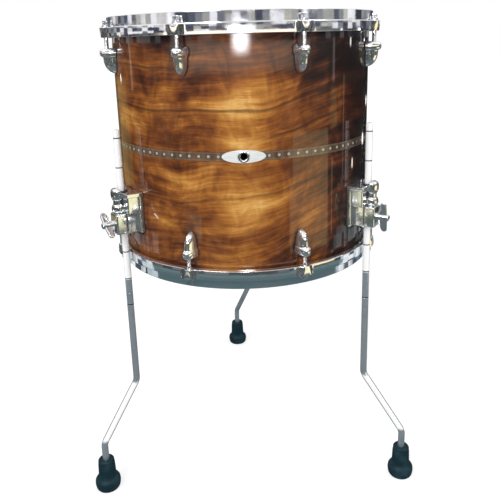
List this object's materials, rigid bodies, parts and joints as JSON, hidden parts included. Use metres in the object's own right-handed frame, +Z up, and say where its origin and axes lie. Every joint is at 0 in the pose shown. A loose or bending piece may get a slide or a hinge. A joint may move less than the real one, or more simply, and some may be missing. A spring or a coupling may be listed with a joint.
{
  "type": "floor_tom",
  "caption": "Floor tom drum: lacquered wood shell with an inlay band, two heads in cast hoops with lugs and tension rods, and three height-adjustable legs in clamp brackets",
  "frame": {"origin": "on the floor under the middle of the whole drum's footprint, feet included", "axes": "+Z up along the drum's axis, the air vent and the two front legs face -Y"},
  "size_m": [0.5186, 0.5227, 0.735],
  "materials": {
    "lacquered_wood": "figured brown veneer under clear gloss lacquer",
    "pearl": "gloss",
    "chrome": "polished",
    "steel": "plated",
    "aluminium": "satin",
    "coated_film": "matte coating",
    "rubber": "matte",
    "nylon": "satin"
  },
  "bodies": {
    "drum": {"shell": "lacquered_wood", "inlay_band": "pearl", "air_vent": "chrome", "vent_plate": "chrome", "lug_batter_1": "chrome", "lug_batter_2": "chrome", "lug_batter_3": "chrome", "lug_batter_4": "chrome", "lug_batter_5": "chrome", "lug_batter_6": "chrome", "lug_batter_7": "chrome", "lug_batter_8": "chrome", "lug_resonant_1": "chrome", "lug_resonant_2": "chrome", "lug_resonant_3": "chrome", "lug_resonant_4": "chrome", "lug_resonant_5": "chrome", "lug_resonant_6": "chrome", "lug_resonant_7": "chrome", "lug_resonant_8": "chrome", "bracket_left": "chrome", "bracket_right": "chrome", "bracket_back": "chrome"},
    "batter_head": {"batter_hoop": "chrome", "batter_flesh_hoop": "aluminium", "batter_film": "coated_film"},
    "rod_batter_1": {"rod_batter_1": "steel"},
    "rod_batter_2": {"rod_batter_2": "steel"},
    "rod_batter_3": {"rod_batter_3": "steel"},
    "rod_batter_4": {"rod_batter_4": "steel"},
    "rod_batter_5": {"rod_batter_5": "steel"},
    "rod_batter_6": {"rod_batter_6": "steel"},
    "rod_batter_7": {"rod_batter_7": "steel"},
    "rod_batter_8": {"rod_batter_8": "steel"},
    "resonant_head": {"resonant_hoop": "chrome", "resonant_flesh_hoop": "aluminium", "resonant_film": "coated_film"},
    "rod_resonant_1": {"rod_resonant_1": "steel"},
    "rod_resonant_2": {"rod_resonant_2": "steel"},
    "rod_resonant_3": {"rod_resonant_3": "steel"},
    "rod_resonant_4": {"rod_resonant_4": "steel"},
    "rod_resonant_5": {"rod_resonant_5": "steel"},
    "rod_resonant_6": {"rod_resonant_6": "steel"},
    "rod_resonant_7": {"rod_resonant_7": "steel"},
    "rod_resonant_8": {"rod_resonant_8": "steel"},
    "bushing_left": {"leg_bushing_left": "nylon"},
    "leg_left": {"leg_left": "chrome", "foot_left": "rubber"},
    "jaw_left": {"clamp_jaw_left": "chrome"},
    "wing_left": {"wing_bolt_left": "chrome"},
    "bushing_right": {"leg_bushing_right": "nylon"},
    "leg_right": {"leg_right": "chrome", "foot_right": "rubber"},
    "jaw_right": {"clamp_jaw_right": "chrome"},
    "wing_right": {"wing_bolt_right": "chrome"},
    "bushing_back": {"leg_bushing_back": "nylon"},
    "leg_back": {"leg_back": "chrome", "foot_back": "rubber"},
    "jaw_back": {"clamp_jaw_back": "chrome"},
    "wing_back": {"wing_bolt_back": "chrome"}
  },
  "joints": [
    {"name": "batter_head_travel", "type": "slide", "parent": "drum", "child": "batter_head", "axis": [0, 0, 1], "range_m": [0, 0.002]},
    {"name": "rod_batter_1_turn", "type": "hinge", "parent": "batter_head", "child": "rod_batter_1", "pos_m": [0.19504, 0.03708, 0.72], "axis": [0, 0, 1], "range_deg": [0, 681.5]},
    {"name": "rod_batter_2_turn", "type": "hinge", "parent": "batter_head", "child": "rod_batter_2", "pos_m": [0.07884, 0.15327, 0.72], "axis": [0, 0, 1], "range_deg": [0, 681.5]},
    {"name": "rod_batter_3_turn", "type": "hinge", "parent": "batter_head", "child": "rod_batter_3", "pos_m": [-0.08548, 0.15327, 0.72], "axis": [0, 0, 1], "range_deg": [0, 681.5]},
    {"name": "rod_batter_4_turn", "type": "hinge", "parent": "batter_head", "child": "rod_batter_4", "pos_m": [-0.20168, 0.03708, 0.72], "axis": [0, 0, 1], "range_deg": [0, 681.5]},
    {"name": "rod_batter_5_turn", "type": "hinge", "parent": "batter_head", "child": "rod_batter_5", "pos_m": [-0.20168, -0.12725, 0.72], "axis": [0, 0, 1], "range_deg": [0, 681.5]},
    {"name": "rod_batter_6_turn", "type": "hinge", "parent": "batter_head", "child": "rod_batter_6", "pos_m": [-0.08548, -0.24344, 0.72], "axis": [0, 0, 1], "range_deg": [0, 681.5]},
    {"name": "rod_batter_7_turn", "type": "hinge", "parent": "batter_head", "child": "rod_batter_7", "pos_m": [0.07884, -0.24344, 0.72], "axis": [0, 0, 1], "range_deg": [0, 681.5]},
    {"name": "rod_batter_8_turn", "type": "hinge", "parent": "batter_head", "child": "rod_batter_8", "pos_m": [0.19504, -0.12725, 0.72], "axis": [0, 0, 1], "range_deg": [0, 681.5]},
    {"name": "resonant_head_travel", "type": "slide", "parent": "drum", "child": "resonant_head", "axis": [0, 0, -1], "range_m": [0, 0.002]},
    {"name": "rod_resonant_1_turn", "type": "hinge", "parent": "resonant_head", "child": "rod_resonant_1", "pos_m": [0.19504, 0.03708, 0.37], "axis": [0, 0, -1], "range_deg": [0, 681.5]},
    {"name": "rod_resonant_2_turn", "type": "hinge", "parent": "resonant_head", "child": "rod_resonant_2", "pos_m": [0.19504, -0.12725, 0.37], "axis": [0, 0, -1], "range_deg": [0, 681.5]},
    {"name": "rod_resonant_3_turn", "type": "hinge", "parent": "resonant_head", "child": "rod_resonant_3", "pos_m": [0.07884, -0.24344, 0.37], "axis": [0, 0, -1], "range_deg": [0, 681.5]},
    {"name": "rod_resonant_4_turn", "type": "hinge", "parent": "resonant_head", "child": "rod_resonant_4", "pos_m": [-0.08548, -0.24344, 0.37], "axis": [0, 0, -1], "range_deg": [0, 681.5]},
    {"name": "rod_resonant_5_turn", "type": "hinge", "parent": "resonant_head", "child": "rod_resonant_5", "pos_m": [-0.20168, -0.12725, 0.37], "axis": [0, 0, -1], "range_deg": [0, 681.5]},
    {"name": "rod_resonant_6_turn", "type": "hinge", "parent": "resonant_head", "child": "rod_resonant_6", "pos_m": [-0.20168, 0.03708, 0.37], "axis": [0, 0, -1], "range_deg": [0, 681.5]},
    {"name": "rod_resonant_7_turn", "type": "hinge", "parent": "resonant_head", "child": "rod_resonant_7", "pos_m": [-0.08548, 0.15327, 0.37], "axis": [0, 0, -1], "range_deg": [0, 681.5]},
    {"name": "rod_resonant_8_turn", "type": "hinge", "parent": "resonant_head", "child": "rod_resonant_8", "pos_m": [0.07884, 0.15327, 0.37], "axis": [0, 0, -1], "range_deg": [0, 681.5]},
    {"name": "leg_left_swivel", "type": "hinge", "parent": "drum", "child": "bushing_left", "pos_m": [-0.18898, -0.17032, 0.4197], "axis": [0, 0, 1], "continuous": true},
    {"name": "leg_left_height", "type": "slide", "parent": "bushing_left", "child": "leg_left", "axis": [0, 0, 1], "range_m": [-0.085, 0.15]},
    {"name": "jaw_left_open", "type": "hinge", "parent": "drum", "child": "jaw_left", "pos_m": [-0.19625, -0.15954, 0.4197], "axis": [0, 0, -1], "range_deg": [0, 4]},
    {"name": "wing_bolt_left_turn", "type": "hinge", "parent": "jaw_left", "child": "wing_left", "pos_m": [-0.19737, -0.18864, 0.4372], "axis": [-0.829, -0.5592, 0], "range_deg": [0, 474]},
    {"name": "leg_right_swivel", "type": "hinge", "parent": "drum", "child": "bushing_right", "pos_m": [0.18234, -0.17032, 0.4197], "axis": [0, 0, 1], "continuous": true},
    {"name": "leg_right_height", "type": "slide", "parent": "bushing_right", "child": "leg_right", "axis": [0, 0, 1], "range_m": [-0.085, 0.15]},
    {"name": "jaw_right_open", "type": "hinge", "parent": "drum", "child": "jaw_right", "pos_m": [0.18961, -0.15954, 0.4197], "axis": [0, 0, 1], "range_deg": [0, 4]},
    {"name": "wing_bolt_right_turn", "type": "hinge", "parent": "jaw_right", "child": "wing_right", "pos_m": [0.19073, -0.18864, 0.4372], "axis": [0.829, -0.5592, 0], "range_deg": [0, 474]},
    {"name": "leg_back_swivel", "type": "hinge", "parent": "drum", "child": "bushing_back", "pos_m": [-0.00332, 0.17886, 0.4197], "axis": [0, 0, 1], "continuous": true},
    {"name": "leg_back_height", "type": "slide", "parent": "bushing_back", "child": "leg_back", "axis": [0, 0, 1], "range_m": [-0.085, 0.15]},
    {"name": "jaw_back_open", "type": "hinge", "parent": "drum", "child": "jaw_back", "pos_m": [0.00968, 0.17886, 0.4197], "axis": [0, 0, -1], "range_deg": [0, 4]},
    {"name": "wing_bolt_back_turn", "type": "hinge", "parent": "jaw_back", "child": "wing_back", "pos_m": [-0.01382, 0.19606, 0.4372], "axis": [0, 1, 0], "range_deg": [0, 474]}
  ],
  "couplings": [
    {"joint": "rod_batter_1_turn", "follows": "batter_head_travel", "rad_per_m": 5938.7},
    {"joint": "rod_batter_2_turn", "follows": "batter_head_travel", "rad_per_m": 5938.7},
    {"joint": "rod_batter_3_turn", "follows": "batter_head_travel", "rad_per_m": 5938.7},
    {"joint": "rod_batter_4_turn", "follows": "batter_head_travel", "rad_per_m": 5938.7},
    {"joint": "rod_batter_5_turn", "follows": "batter_head_travel", "rad_per_m": 5938.7},
    {"joint": "rod_batter_6_turn", "follows": "batter_head_travel", "rad_per_m": 5938.7},
    {"joint": "rod_batter_7_turn", "follows": "batter_head_travel", "rad_per_m": 5938.7},
    {"joint": "rod_batter_8_turn", "follows": "batter_head_travel", "rad_per_m": 5938.7},
    {"joint": "rod_resonant_1_turn", "follows": "resonant_head_travel", "rad_per_m": 5938.7},
    {"joint": "rod_resonant_2_turn", "follows": "resonant_head_travel", "rad_per_m": 5938.7},
    {"joint": "rod_resonant_3_turn", "follows": "resonant_head_travel", "rad_per_m": 5938.7},
    {"joint": "rod_resonant_4_turn", "follows": "resonant_head_travel", "rad_per_m": 5938.7},
    {"joint": "rod_resonant_5_turn", "follows": "resonant_head_travel", "rad_per_m": 5938.7},
    {"joint": "rod_resonant_6_turn", "follows": "resonant_head_travel", "rad_per_m": 5938.7},
    {"joint": "rod_resonant_7_turn", "follows": "resonant_head_travel", "rad_per_m": 5938.7},
    {"joint": "rod_resonant_8_turn", "follows": "resonant_head_travel", "rad_per_m": 5938.7},
    {"joint": "wing_bolt_left_turn", "follows": "jaw_left_open", "ratio": 118},
    {"joint": "wing_bolt_right_turn", "follows": "jaw_right_open", "ratio": 118},
    {"joint": "wing_bolt_back_turn", "follows": "jaw_back_open", "ratio": 118}
  ]
}
